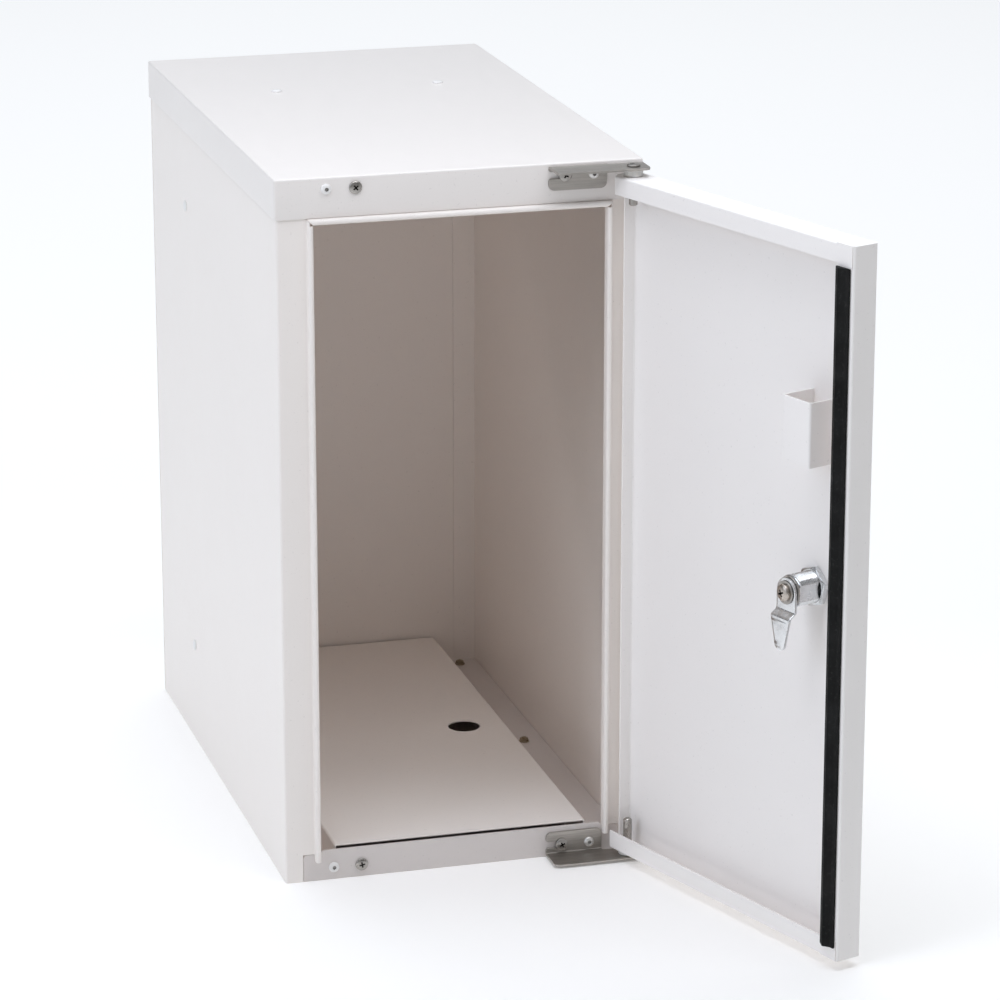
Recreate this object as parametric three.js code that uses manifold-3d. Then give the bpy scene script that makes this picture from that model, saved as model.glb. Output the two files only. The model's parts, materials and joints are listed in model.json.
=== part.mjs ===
// A parcel drop box: a sheet-steel cabinet with a raised floor, and a hinged door with a cam lock.
// Millimetres, +Z up, the opening faces -Y. The origin is the centre of the base's underside.
// The door stands open at rest, by OPEN_ANGLE from its closed position.
import * as THREE from "three";
import { mergeVertices } from "three/addons/utils/BufferGeometryUtils.js";
import Module from "manifold-3d";

const wasm = await Module();
wasm.setup();

// Overall size and sheet.
const WIDTH = 256;
const DEPTH = 425;
const HEIGHT = 500;
const SHEET = 1.2;
const GAP = 0.3;
// How far a cutting shape runs past the material it cuts.
const PAST = 1;
const BORE_LENGTH = 8;
const RUN = 0.1;
const BEND = 1;
const BEND_STEPS = 4;
const ROUND_STEPS = 24;

const HALF = WIDTH / 2;
const FRONT = -DEPTH / 2;
const BACK = DEPTH / 2;
const MIDDLE = SHEET / 2;

// Cap.
const CAP_SHEET = 1;
const CAP_FLANGE = 27.5;
const CAP_CORNER = 2;
const CAP_LAP = CAP_SHEET + GAP;
const CAP_BOTTOM = HEIGHT - CAP_FLANGE;
const CAP_UNDERSIDE = HEIGHT - CAP_SHEET;

// Cabinet body, inside the cap.
const BODY_HALF = HALF - CAP_LAP;
const BODY_FRONT = FRONT + CAP_LAP;
const BODY_BACK = BACK - CAP_LAP;
const BODY_TOP = CAP_UNDERSIDE - GAP;
const RETURN_BACK = BODY_BACK - SHEET - GAP;
const STILE_WIDTH = 20.7;
const REAR_RETURN = 18.6;
const REAR_CUT = 2;
const TOP_RETURN = 20;
const BOTTOM_RETURN = 36.7;
const RETURN_START = 14;
const RELIEF = 4;

// Raised lip round the opening, folded forward of the stiles.
const LIP_WIDTH = 3.8;
const LIP_PROUD = 5.5;
const LIP_BEND = 1.2;
const LIP_TAIL = 1.7;
const LIP_OUTER = BODY_HALF - STILE_WIDTH;
const LIP_INNER = LIP_OUTER - LIP_WIDTH;
const LIP_TOP = CAP_BOTTOM - GAP;
const LIP_BOTTOM = 15;
const LIP_CUT = 3;

// Bottom tray: its front flange has a lower tab at each end, and its floor steps down between the side folds.
const TRAY_FLANGE = 22;
const TRAY_TOP_HALF = 100;
const TAB_HALF = 114;
const TAB_TOP = 19.5;
const TAB_ROUND = 2.5;
const TRAY_STEP_X = 87;
const TRAY_STEP_RUN = 3;
const STRIP_LOW = SHEET + GAP;
const STRIP_TOP = STRIP_LOW + SHEET;

// Raised floor plate.
const PLATE_HALF = 91;
const PLATE_TOP = 24;
const PLATE_FOOT_GAP = 0.5;
const PLATE_FRONT_GAP = 2.2;
const PLATE_BACK_GAP = 1.2;
const PLATE_HOLE_R = 12;
const PLATE_HOLE_X = 59.5;
const PLATE_HOLE_Y = 1;

// Fasteners on the front faces, mirrored about the middle.
const FIX_Z_TOP = 492;
const FIX_Z_BOTTOM = 9;
const RIVET_X = 92.5;
const SCREW_X = 72.5;
const SHANK_R = 2;
const SCREW_HEAD_R = 4.5;
const RIVET_HEAD_R = 3.7;
const HEAD_HEIGHT = 1.9;
// Shares of a head's height that stand upright, and of a rivet's radius and height where its slope breaks.
const HEAD_RIM = 0.3;
const RIVET_BREAK = 0.75;
const CROSS_LENGTH = 4.8;
const CROSS_WIDTH = 1.1;
const CROSS_DEPTH = 1.1;
const DIMPLE_R = 1.3;

// Bolts in the low strips beside the floor plate.
const FLOOR_BOLT_X = 109.7;
const FLOOR_BOLT_Y = [-172.5, 12.5, 197.5];
const HEX_ACROSS = 5.5;
const HEX_HEIGHT = 2.6;
const BOLT_FLANGE_R = 4;
const BOLT_FLANGE_HEIGHT = 0.6;

// Plugs that close the spare fixing holes in the left side and the top.
const PLUG_R = 4;
const PLUG_HEIGHT = 0.9;
const PLUG_SHANK = 3;
const PLUG_SHANK_R = 3;
// Shares of a plug's height that stand upright, and of its radius that stays flat on top.
const PLUG_RIM = 0.35;
const PLUG_FLAT = 0.8;
const SIDE_PLUG_Y = 87.5;
const SIDE_PLUG_Z = [77, 416];
const TOP_PLUG_Y = 73.5;
const TOP_PLUG_X = [-60.5, 60.5];

// Hinge brackets, pins and washers.
const BRACKET_SHEET = 1.5;
const BRACKET_LEFT = 61;
const BRACKET_RIGHT = 126.5;
const BRACKET_LEAF_RIGHT = 101.9;
const BRACKET_REACH = 24;
const BRACKET_CLEAR = 3.3;
const BRACKET_HIGH = HEIGHT - 1.7;
const BRACKET_LOW = 1.5;
const BRACKET_TALL = 16.8;
const BRACKET_BEND = 1.3;
const BRACKET_ROUND = 4;
const BRACKET_NOTCH = 4;
const BRACKET_EDGE = 3;
const SLOT_HEIGHT = 4.6;
const SLOT_ROUND = 1.8;
const PIN_X = HALF - 11.5;
const PIN_Y = FRONT - 15;
const PIN_R = 3;
const PIN_HEAD_R = 4.6;
const PIN_HEAD_HEIGHT = 1;
const UPPER_PIN_LOW = 471;
const LOWER_PIN_HIGH = 29.5;
const WASHER_R = 6.5;

// Door, drawn shut in its own frame.
// +X runs from the hinge edge to the free edge, +Y from the cabinet to the room.
const OPEN_ANGLE = 109.5;
const DOOR_WIDTH = 254;
const DOOR_DEEP = 20;
const DOOR_LOW = 7;
const DOOR_HIGH = 491.7;
const DOOR_PIN_X = 10.5;
const DOOR_PIN_Y = 10;
const DOOR_BEND = 1.5;
const HINGE_RETURN = 10;
const EDGE_HEM = 17;
const RAIL_HEM = 13;
const HEM_CUT = 3;
const CORNER_SLIT = [252.1, 252.6];
const CORNER_SLIT_DEEP = 3;

// Seal along the free edge.
const SEAL_X = [238, 251.5];
const SEAL_Z = [16, 477];
const SEAL_EDGE = 1.5;
const SEAL_RIDGE = 4.4;
const SEAL_RIDGE_X = 243.6;
const SEAL_FLANGE_X = 248.2;
const SEAL_NOSE = 0.8;

// Channel bracket inside the door.
const CHANNEL_X = [194, 222.5];
const CHANNEL_Z = [340, 383.7];
const CHANNEL_REACH = -7;
const CHANNEL_BEND = 1.2;

// Cam lock.
const LOCK_X = 201;
const LOCK_Z = 251;
const BARREL_R = 11;
const BARREL_FLAT = 9.2;
const BARREL_END = -2.4;
const BEZEL_R = 13.5;
const BEZEL_HEIGHT = 2;
const BEZEL_CHAMFER = 1.2;
const PLUG_CORE_R = 7.2;
const PLUG_SET_BACK = 0.4;
const KEY_SLOT = [1.4, 8, 3];
const TANG = 8;
const NUT_ACROSS = 25;
const NUT_THICK = 4.2;
const CAM_SHEET = 2;
const CAM_EYE_R = 9.5;
const CAM_EYE_ROUND = CAM_EYE_R * 0.95;
const CAM_CRANK = [12, 16.8];
const CAM_OFFSET = 4.8;
const CAM_LENGTH = 39;
const CAM_TIP_R = 4.5;
const CAM_TIP_HALF = CAM_TIP_R * 1.2;
const CAM_BEND = 1.6;
const CAM_SCREW_R = 6;
const CAM_SCREW_HEIGHT = 2.8;
const CAM_CROSS_LENGTH = 6.2;
const CAM_CROSS_WIDTH = 1.3;
const CAM_SCREW_SHANK_R = 2.5;
const CAM_SCREW_SHANK = 8;
const LOCK_WASHER_R = 8;
const LOCK_WASHER_THICK = 0.8;
const STOP_WASHER_R = 10.5;
const STOP_WASHER_THICK = 1.4;

const FINISH = {
  cap: { color: 0xe4e4ea, roughness: 0.42, metalness: 0 },
  body: { color: 0xdcdbe0, roughness: 0.45, metalness: 0 },
  tray: { color: 0xd2d0d0, roughness: 0.45, metalness: 0 },
  door: { color: 0xe2e1e7, roughness: 0.42, metalness: 0 },
  rivet: { color: 0xe6e4e2, roughness: 0.4, metalness: 0 },
  steel: { color: 0x8f8c88, roughness: 0.3, metalness: 1 },
  stainless: { color: 0x97948f, roughness: 0.34, metalness: 1 },
  chrome: { color: 0xb4b4b8, roughness: 0.14, metalness: 1 },
  rubber: { color: 0x1c1e1e, roughness: 0.8, metalness: 0 },
  nylon: { color: 0xe8e4de, roughness: 0.5, metalness: 0 },
};

// Every outline is drawn in one of these planes and extruded along the third axis.
const X = new THREE.Vector3(1, 0, 0);
const Y = new THREE.Vector3(0, 1, 0);
const Z = new THREE.Vector3(0, 0, 1);
const PLANES = { xy: [X, Y, Z], yz: [Y, Z, X], zx: [Z, X, Y] };

function toSolid(geometry) {
  geometry.deleteAttribute("normal");
  geometry.deleteAttribute("uv");
  const merged = mergeVertices(geometry, 1e-4);
  return new wasm.Manifold(
    new wasm.Mesh({
      numProp: 3,
      vertProperties: merged.attributes.position.array,
      triVerts: new Uint32Array(merged.index.array),
    }),
  );
}

function toGeometry(solid) {
  const mesh = solid.getMesh();
  const geometry = new THREE.BufferGeometry();
  geometry.setAttribute("position", new THREE.BufferAttribute(mesh.vertProperties, 3));
  geometry.setIndex(new THREE.BufferAttribute(mesh.triVerts, 1));
  const flat = geometry.toNonIndexed();
  flat.computeVertexNormals();
  return flat;
}

function prism(outline, plane, from, to) {
  const [across, up, along] = PLANES[plane];
  const points = outline.map(([x, y]) => new THREE.Vector2(x, y));
  const settings = { depth: to - from, bevelEnabled: false };
  const geometry = new THREE.ExtrudeGeometry(new THREE.Shape(points), settings);
  geometry.applyMatrix4(new THREE.Matrix4().makeBasis(across, up, along));
  geometry.translate(along.x * from, along.y * from, along.z * from);
  return toSolid(geometry);
}

function box([x0, x1], [y0, y1], [z0, z1]) {
  const geometry = new THREE.BoxGeometry(Math.abs(x1 - x0), y1 - y0, z1 - z0);
  geometry.translate((x0 + x1) / 2, (y0 + y1) / 2, (z0 + z1) / 2);
  return toSolid(geometry);
}

// A solid of revolution from [radius, height] pairs that start and end on the axis, or close on themselves.
// Its height runs along the given direction, from the given point.
function turned(profile, at, direction) {
  const points = profile.map(([r, h]) => new THREE.Vector2(r, h));
  const geometry = new THREE.LatheGeometry(points, ROUND_STEPS);
  geometry.applyQuaternion(new THREE.Quaternion().setFromUnitVectors(Y, direction));
  geometry.translate(...at);
  return toSolid(geometry);
}

function rod(radius, from, to, at, direction) {
  return turned([[0, from], [radius, from], [radius, to], [0, to]], at, direction);
}

// The points of a corner rounded at the given radius, each with the direction of travel there.
function roundCorner(before, corner, after, radius) {
  const arriving = corner.clone().sub(before).normalize();
  const leaving = after.clone().sub(corner).normalize();
  const angle = Math.atan2(arriving.cross(leaving), arriving.dot(leaving));
  const side = Math.sign(angle);
  const setBack = radius * Math.tan(Math.abs(angle) / 2);
  const start = corner.clone().addScaledVector(arriving, -setBack);
  const across = new THREE.Vector2(-arriving.y, arriving.x);
  const centre = start.clone().addScaledVector(across, side * radius);
  return Array.from({ length: BEND_STEPS + 1 }, (_, step) => {
    const turn = (angle * step) / BEND_STEPS;
    return {
      point: start.clone().rotateAround(centre, turn),
      direction: arriving.clone().rotateAround(new THREE.Vector2(), turn),
    };
  });
}

// The outline of a bent sheet, from its centre line, with every corner bent at the given radius.
function bentSheet(line, thickness, radius) {
  const path = line.map(([x, y]) => new THREE.Vector2(x, y));
  const last = path.length - 1;
  const samples = [{ point: path[0], direction: path[1].clone().sub(path[0]).normalize() }];
  for (let i = 1; i < last; i++) {
    samples.push(...roundCorner(path[i - 1], path[i], path[i + 1], radius));
  }
  samples.push({ point: path[last], direction: path[last].clone().sub(path[last - 1]).normalize() });
  const offset = (amount) =>
    samples.map(({ point, direction }) => [
      point.x - direction.y * amount,
      point.y + direction.x * amount,
    ]);
  return [...offset(thickness / 2), ...offset(-thickness / 2).reverse()];
}

// A closed outline from [x, y, radius] corners; a radius of 0 keeps the corner sharp.
function roundedOutline(corners) {
  const count = corners.length;
  const at = (i) => new THREE.Vector2(...corners[(i + count) % count].slice(0, 2));
  return corners.flatMap(([x, y, radius], i) =>
    radius > 0
      ? roundCorner(at(i - 1), at(i), at(i + 1), radius).map(({ point }) => [point.x, point.y])
      : [[x, y]],
  );
}

function roundedBox([x0, x1], [y0, y1], radius) {
  return roundedOutline([[x0, y0, radius], [x1, y0, radius], [x1, y1, radius], [x0, y1, radius]]);
}

// A cutter for a hole of exactly this radius, centred on the sheet at the given point.
function bore(radius, at, direction) {
  return rod(radius, -BORE_LENGTH / 2, BORE_LENGTH / 2, at, direction);
}

// A cutter for a shank of this radius, with the usual gap round it.
function drill(radius, at, direction) {
  return bore(radius + GAP, at, direction);
}

function frontHoles(solid, spots) {
  return spots.reduce((left, [x, z]) => left.subtract(drill(SHANK_R, [x, BODY_FRONT, z], Y)), solid);
}

// ---- Cabinet ----

function topCap() {
  const outer = prism(roundedBox([-HALF, HALF], [FRONT, BACK], CAP_CORNER), "xy", CAP_BOTTOM, HEIGHT);
  const inner = prism(
    roundedBox(
      [-HALF + CAP_SHEET, HALF - CAP_SHEET],
      [FRONT + CAP_SHEET, BACK - CAP_SHEET],
      CAP_CORNER - CAP_SHEET,
    ),
    "xy",
    CAP_BOTTOM - 1,
    CAP_UNDERSIDE,
  );
  let cap = outer.subtract(inner);
  for (const x of TOP_PLUG_X) {
    cap = cap.subtract(drill(PLUG_SHANK_R, [x, TOP_PLUG_Y, HEIGHT], Z));
  }
  return frontHoles(cap, fixings(FIX_Z_TOP));
}

function fixings(z) {
  return [-RIVET_X, -SCREW_X, SCREW_X, RIVET_X].map((x) => [x, z]);
}

// One side of the cabinet, folded from the rear return round to the lip.
// side is -1 for the left and 1 for the right.
function sidePanel(side) {
  const wall = BODY_HALF - MIDDLE;
  const rear = RETURN_BACK - MIDDLE;
  const front = BODY_FRONT + MIDDLE;
  const nose = BODY_FRONT - LIP_PROUD + MIDDLE;
  const line = [
    [BODY_HALF - REAR_RETURN, rear],
    [wall, rear],
    [wall, front],
    [LIP_OUTER - MIDDLE, front],
    [LIP_OUTER - MIDDLE, nose],
    [LIP_INNER + MIDDLE, nose],
    [LIP_INNER + MIDDLE, BODY_FRONT + LIP_TAIL],
  ].map(([x, y]) => [side * x, y]);
  const across = (near, far) => [side * near, side * far];
  let panel = prism(bentSheet(line, SHEET, LIP_BEND), "xy", 0, BODY_TOP);

  const lipSide = across(LIP_INNER - PAST, LIP_OUTER + GAP);
  const lipFront = [BODY_FRONT - LIP_PROUD - PAST, BODY_FRONT + LIP_CUT];
  const mitre = [
    [LIP_TOP + PAST, side * (LIP_OUTER + PAST)],
    [LIP_TOP + PAST, side * (LIP_INNER - PAST)],
    [LIP_TOP - LIP_WIDTH - PAST - GAP, side * (LIP_INNER - PAST)],
    [LIP_TOP - GAP, side * LIP_OUTER],
    [LIP_TOP - GAP, side * (LIP_OUTER + PAST)],
  ];
  panel = panel
    .subtract(box(lipSide, lipFront, [LIP_TOP - GAP, HEIGHT]))
    .subtract(prism(mitre, "zx", ...lipFront))
    .subtract(box(across(LIP_INNER - PAST, LIP_OUTER - SHEET), lipFront, [LIP_TOP - LIP_WIDTH - GAP, HEIGHT]))
    .subtract(box(across(LIP_INNER - PAST, LIP_OUTER + GAP), lipFront, [-PAST, LIP_BOTTOM]))
    .subtract(
      box(across(0, TAB_HALF + GAP), [BODY_FRONT - GAP, BODY_FRONT + LIP_CUT], [-PAST, TAB_TOP + GAP]),
    );

  const fold = (width, z) =>
    box(across(BODY_HALF - width, BODY_HALF - MIDDLE), [FRONT + RETURN_START, RETURN_BACK - RELIEF], z);
  panel = panel.add(fold(BOTTOM_RETURN, [0, SHEET])).add(fold(TOP_RETURN, [BODY_TOP - SHEET, BODY_TOP]));
  panel = panel.subtract(
    box(
      across(0, BODY_HALF - REAR_RETURN + RELIEF),
      [RETURN_BACK - REAR_CUT, RETURN_BACK + PAST],
      [-PAST, RELIEF],
    ),
  );
  for (const y of FLOOR_BOLT_Y) {
    panel = panel.subtract(drill(SHANK_R, [side * FLOOR_BOLT_X, y, 0], Z));
  }
  if (side < 0) {
    for (const z of SIDE_PLUG_Z) {
      panel = panel.subtract(drill(PLUG_SHANK_R, [-BODY_HALF, SIDE_PLUG_Y, z], X));
    }
  }
  return panel;
}

function backPanel() {
  return box([-BODY_HALF, BODY_HALF], [BODY_BACK - SHEET, BODY_BACK], [0, BODY_TOP]);
}

// The rail over the opening.
// It holds the top of the lip, the face behind the cap's front flange and a fold under the cap.
function topRail() {
  const face = BODY_FRONT + MIDDLE;
  const nose = BODY_FRONT - LIP_PROUD + MIDDLE;
  const line = [
    [face + TOP_RETURN, BODY_TOP - MIDDLE],
    [face, BODY_TOP - MIDDLE],
    [face, LIP_TOP - MIDDLE],
    [nose, LIP_TOP - MIDDLE],
    [nose, LIP_TOP - LIP_WIDTH + MIDDLE],
    [BODY_FRONT + LIP_TAIL, LIP_TOP - LIP_WIDTH + MIDDLE],
  ];
  const half = LIP_OUTER - MIDDLE;
  let rail = prism(bentSheet(line, SHEET, LIP_BEND), "yz", -half, half);
  for (const side of [-1, 1]) {
    const corner = [
      [LIP_TOP - LIP_WIDTH - PAST, side * (LIP_INNER - PAST)],
      [LIP_TOP, side * LIP_OUTER],
      [LIP_TOP, side * (LIP_OUTER + PAST)],
      [LIP_TOP - LIP_WIDTH - PAST, side * (LIP_OUTER + PAST)],
    ];
    rail = rail.subtract(prism(corner, "zx", BODY_FRONT - LIP_PROUD - PAST, BODY_FRONT + LIP_CUT));
    rail = rail.subtract(
      box([side * (LIP_OUTER - GAP - SHEET), side * HALF], [BODY_FRONT, BACK], [LIP_TOP + GAP, HEIGHT]),
    );
  }
  return frontHoles(rail, fixings(FIX_Z_TOP));
}

function bottomTray() {
  const low = MIDDLE;
  const high = STRIP_LOW + MIDDLE;
  const edge = BODY_HALF - SHEET - GAP;
  const floorLine = [
    [high, -edge],
    [high, -TRAY_STEP_X],
    [low, -TRAY_STEP_X + TRAY_STEP_RUN],
    [low, TRAY_STEP_X - TRAY_STEP_RUN],
    [high, TRAY_STEP_X],
    [high, edge],
  ];
  const floorBack = RETURN_BACK - SHEET - GAP;
  const floor = prism(bentSheet(floorLine, SHEET, BEND), "zx", BODY_FRONT + MIDDLE, floorBack);
  const chamfer = TRAY_FLANGE - TAB_TOP;
  const face = roundedOutline([
    [0, -TAB_HALF, 0],
    [TAB_TOP, -TAB_HALF, TAB_ROUND],
    [TAB_TOP, -TRAY_TOP_HALF - chamfer, 0],
    [TRAY_FLANGE, -TRAY_TOP_HALF, 0],
    [TRAY_FLANGE, TRAY_TOP_HALF, 0],
    [TAB_TOP, TRAY_TOP_HALF + chamfer, 0],
    [TAB_TOP, TAB_HALF, TAB_ROUND],
    [0, TAB_HALF, 0],
  ]);
  const flange = prism(face, "zx", BODY_FRONT, BODY_FRONT + SHEET);
  let tray = floor.add(flange);
  for (const side of [-1, 1]) {
    tray = tray.subtract(
      box(
        [side * TAB_HALF, side * HALF],
        [BODY_FRONT - PAST, BODY_FRONT + SHEET + GAP],
        [-PAST, TRAY_FLANGE],
      ),
    );
    for (const y of FLOOR_BOLT_Y) {
      tray = tray.subtract(drill(SHANK_R, [side * FLOOR_BOLT_X, y, STRIP_LOW], Z));
    }
  }
  return frontHoles(tray, fixings(FIX_Z_BOTTOM));
}

function floorPlate() {
  const leg = STRIP_TOP + PLATE_FOOT_GAP;
  const line = [
    [leg, -PLATE_HALF + MIDDLE],
    [PLATE_TOP - MIDDLE, -PLATE_HALF + MIDDLE],
    [PLATE_TOP - MIDDLE, PLATE_HALF - MIDDLE],
    [leg, PLATE_HALF - MIDDLE],
  ];
  const near = BODY_FRONT + SHEET + PLATE_FRONT_GAP;
  const far = RETURN_BACK - SHEET - PLATE_BACK_GAP;
  const plate = prism(bentSheet(line, SHEET, BEND), "zx", near, far);
  return plate.subtract(bore(PLATE_HOLE_R, [PLATE_HOLE_X, PLATE_HOLE_Y, PLATE_TOP], Z));
}

// ---- Fasteners: each head stands on the surface at the given point, and its shank runs in behind. ----

function crossRecess(at, direction, top, length, width) {
  const turn = new THREE.Quaternion().setFromUnitVectors(Y, direction);
  const bar = (x, z) => {
    const geometry = new THREE.BoxGeometry(x, CROSS_DEPTH * 2, z);
    geometry.translate(0, top, 0);
    geometry.applyQuaternion(turn);
    geometry.translate(...at);
    return toSolid(geometry);
  };
  return bar(length, width).add(bar(width, length));
}

function domeProfile(radius, height, rim) {
  const steps = 4;
  return Array.from({ length: steps + 1 }, (_, i) => {
    const angle = (Math.PI / 2) * (i / steps);
    return [radius * Math.cos(angle), rim + (height - rim) * Math.sin(angle)];
  });
}

function screw(at, direction, shank) {
  const rim = HEAD_HEIGHT * HEAD_RIM;
  const dome = domeProfile(SCREW_HEAD_R, HEAD_HEIGHT, rim);
  dome[dome.length - 1][0] = 0;
  const profile = [[0, -shank], [SHANK_R, -shank], [SHANK_R, 0], [SCREW_HEAD_R, 0], ...dome];
  const recess = crossRecess(at, direction, HEAD_HEIGHT, CROSS_LENGTH, CROSS_WIDTH);
  return turned(profile, at, direction).subtract(recess);
}

function rivet(at, direction, shank) {
  const rim = HEAD_HEIGHT * HEAD_RIM;
  const crest = [RIVET_HEAD_R * RIVET_BREAK, HEAD_HEIGHT * RIVET_BREAK];
  const slope = [[RIVET_HEAD_R, rim], crest, [DIMPLE_R, HEAD_HEIGHT]];
  const dimple = [[DIMPLE_R, HEAD_HEIGHT / 2], [0, HEAD_HEIGHT / 2]];
  const profile = [[0, -shank], [SHANK_R, -shank], [SHANK_R, 0], [RIVET_HEAD_R, 0], ...slope, ...dimple];
  return turned(profile, at, direction);
}

function floorBolt(x, y) {
  const seat = [x, y, STRIP_TOP + GAP];
  const base = [[0, -STRIP_TOP], [SHANK_R, -STRIP_TOP], [SHANK_R, 0], [BOLT_FLANGE_R, 0]];
  const flange = [[BOLT_FLANGE_R, BOLT_FLANGE_HEIGHT], [0, BOLT_FLANGE_HEIGHT]];
  const head = hexagon(HEX_ACROSS, "xy", STRIP_TOP + GAP, STRIP_TOP + GAP + HEX_HEIGHT, x, y);
  return turned([...base, ...flange], seat, Z).add(head);
}

function hexagon(across, plane, from, to, x, y) {
  const radius = across / Math.sqrt(3);
  const corners = Array.from({ length: 6 }, (_, i) => {
    const angle = (Math.PI / 3) * i;
    return [x + radius * Math.cos(angle), y + radius * Math.sin(angle)];
  });
  return prism(corners, plane, from, to);
}

function plug(at, direction) {
  const shank = [[0, -PLUG_SHANK], [PLUG_SHANK_R, -PLUG_SHANK], [PLUG_SHANK_R, 0]];
  const rim = [[PLUG_R, 0], [PLUG_R, PLUG_HEIGHT * PLUG_RIM]];
  const top = [[PLUG_R * PLUG_FLAT, PLUG_HEIGHT], [0, PLUG_HEIGHT]];
  return turned([...shank, ...rim, ...top], at, direction);
}

// ---- Hinge ----

// The leaf that carries the pin lies level; the other is screwed to the cabinet's front through an open slot.
// way is 1 for the upper bracket, whose leaf hangs down, and -1 for the lower one.
function bracket(way) {
  const level = way > 0 ? BRACKET_HIGH : BRACKET_LOW;
  const middle = BRACKET_SHEET / 2;
  const face = way > 0 ? FRONT - GAP : BODY_FRONT - GAP;
  const flat = level - way * middle;
  const end = level - way * BRACKET_TALL;
  const line = [[FRONT - BRACKET_REACH, flat], [face - middle, flat], [face - middle, end]];
  const sheet = prism(bentSheet(line, BRACKET_SHEET, BRACKET_BEND), "yz", BRACKET_LEFT, BRACKET_RIGHT);

  const low = Math.min(level, end) - PAST;
  const high = Math.max(level, end) + PAST;
  const plan = roundedOutline([
    [BRACKET_LEFT, face + PAST, 0],
    [BRACKET_LEFT, FRONT - BRACKET_REACH, BRACKET_ROUND],
    [BRACKET_RIGHT, FRONT - BRACKET_REACH, BRACKET_ROUND],
    [BRACKET_RIGHT, FRONT - BRACKET_CLEAR, 0],
    [BRACKET_LEAF_RIGHT, FRONT - BRACKET_CLEAR, 0],
    [BRACKET_LEAF_RIGHT, face + PAST, 0],
  ]);
  const fixZ = way > 0 ? FIX_Z_TOP : FIX_Z_BOTTOM;
  const elevation = roundedOutline([
    [level + way, BRACKET_LEFT - PAST, 0],
    [level + way, BRACKET_RIGHT + PAST, 0],
    [level - way * BRACKET_NOTCH, BRACKET_RIGHT + PAST, 0],
    [level - way * BRACKET_NOTCH, BRACKET_LEAF_RIGHT, 0],
    [end, BRACKET_LEAF_RIGHT, BRACKET_ROUND],
    [end, BRACKET_LEFT, BRACKET_ROUND],
    [fixZ - (way * SLOT_HEIGHT) / 2, BRACKET_LEFT, SLOT_ROUND],
    [fixZ - (way * SLOT_HEIGHT) / 2, SCREW_X, 0],
    [fixZ + (way * SLOT_HEIGHT) / 2, SCREW_X, 0],
    [fixZ + (way * SLOT_HEIGHT) / 2, BRACKET_LEFT, SLOT_ROUND],
    [level - way * BRACKET_EDGE, BRACKET_LEFT, 0],
  ]);
  return sheet
    .intersect(prism(plan, "xy", low, high))
    .intersect(prism(elevation, "zx", FRONT - BRACKET_REACH - PAST, face + PAST))
    .subtract(drill(SLOT_HEIGHT / 2 - GAP, [SCREW_X, face, fixZ], Y))
    .subtract(drill(SHANK_R, [RIVET_X, face, fixZ], Y))
    .subtract(bore(PIN_R + RUN, [PIN_X, PIN_Y, flat], Z));
}

function hingePin(way) {
  const level = way > 0 ? BRACKET_HIGH : BRACKET_LOW;
  const tip = way > 0 ? UPPER_PIN_LOW : LOWER_PIN_HIGH;
  const reach = Math.abs(level - tip) + GAP;
  const round = 1;
  const profile = [
    [0, -PIN_HEAD_HEIGHT],
    [PIN_HEAD_R, -PIN_HEAD_HEIGHT],
    [PIN_HEAD_R, 0],
    [PIN_R, 0],
    [PIN_R, reach - round],
    [PIN_R - round, reach],
    [0, reach],
  ];
  const away = new THREE.Vector3(0, 0, -way);
  return turned(profile, [PIN_X, PIN_Y, level + way * GAP], away);
}

function ring(inner, outer, from, to, at, direction) {
  return turned([[inner, from], [outer, from], [outer, to], [inner, to], [inner, from]], at, direction);
}

function washer(low, high) {
  return ring(PIN_R + RUN, WASHER_R, low + GAP, high - GAP, [PIN_X, PIN_Y, 0], Z);
}

// ---- Door, in its own frame ----

function doorPanel() {
  const out = DOOR_DEEP - MIDDLE;
  const skin = [
    [MIDDLE, HINGE_RETURN],
    [MIDDLE, out],
    [DOOR_WIDTH - MIDDLE, out],
    [DOOR_WIDTH - MIDDLE, MIDDLE],
    [DOOR_WIDTH - EDGE_HEM, MIDDLE],
  ];
  let panel = prism(bentSheet(skin, SHEET, DOOR_BEND), "xy", DOOR_LOW, DOOR_HIGH);
  for (const [edge, way] of [[DOOR_HIGH, -1], [DOOR_LOW, 1]]) {
    const rail = [
      [out, edge + way * MIDDLE],
      [MIDDLE, edge + way * MIDDLE],
      [MIDDLE, edge + way * RAIL_HEM],
    ];
    const channel = prism(bentSheet(rail, SHEET, BEND), "yz", 0, DOOR_WIDTH - SHEET);
    const face = [edge, edge + way * (RAIL_HEM + PAST)].sort((a, b) => a - b);
    const notch = box([-PAST, HEM_CUT], [-PAST, HEM_CUT], [face[0] - PAST, face[1] + PAST]);
    const slit = box(CORNER_SLIT, [-PAST, CORNER_SLIT_DEEP], [face[0] - PAST, face[1]]);
    panel = panel.add(channel).subtract(notch).subtract(slit);
    panel = panel.subtract(bore(PIN_R + RUN, [DOOR_PIN_X, DOOR_PIN_Y, edge], Z));
  }
  return panel.subtract(drill(BARREL_R, [LOCK_X, DOOR_DEEP, LOCK_Z], Y));
}

// A ridge that presses on the stile, with a flat flange beside it towards the free edge.
function doorSeal() {
  const [left, right] = SEAL_X;
  const edge = -GAP - SEAL_EDGE;
  const section = roundedOutline([
    [left, -GAP, 0],
    [left, edge, 0],
    [SEAL_RIDGE_X, -GAP - SEAL_RIDGE, SEAL_NOSE],
    [SEAL_FLANGE_X, edge, 0],
    [right, edge, 0],
    [right, -GAP, 0],
  ]);
  return prism(section, "xy", ...SEAL_Z);
}

function channelBracket() {
  const [left, right] = CHANNEL_X;
  const foot = DOOR_DEEP - SHEET - GAP;
  const web = CHANNEL_REACH + MIDDLE;
  const line = [
    [left + MIDDLE, foot],
    [left + MIDDLE, web],
    [right - MIDDLE, web],
    [right - MIDDLE, foot],
  ];
  return prism(bentSheet(line, SHEET, CHANNEL_BEND), "xy", ...CHANNEL_Z);
}

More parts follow.
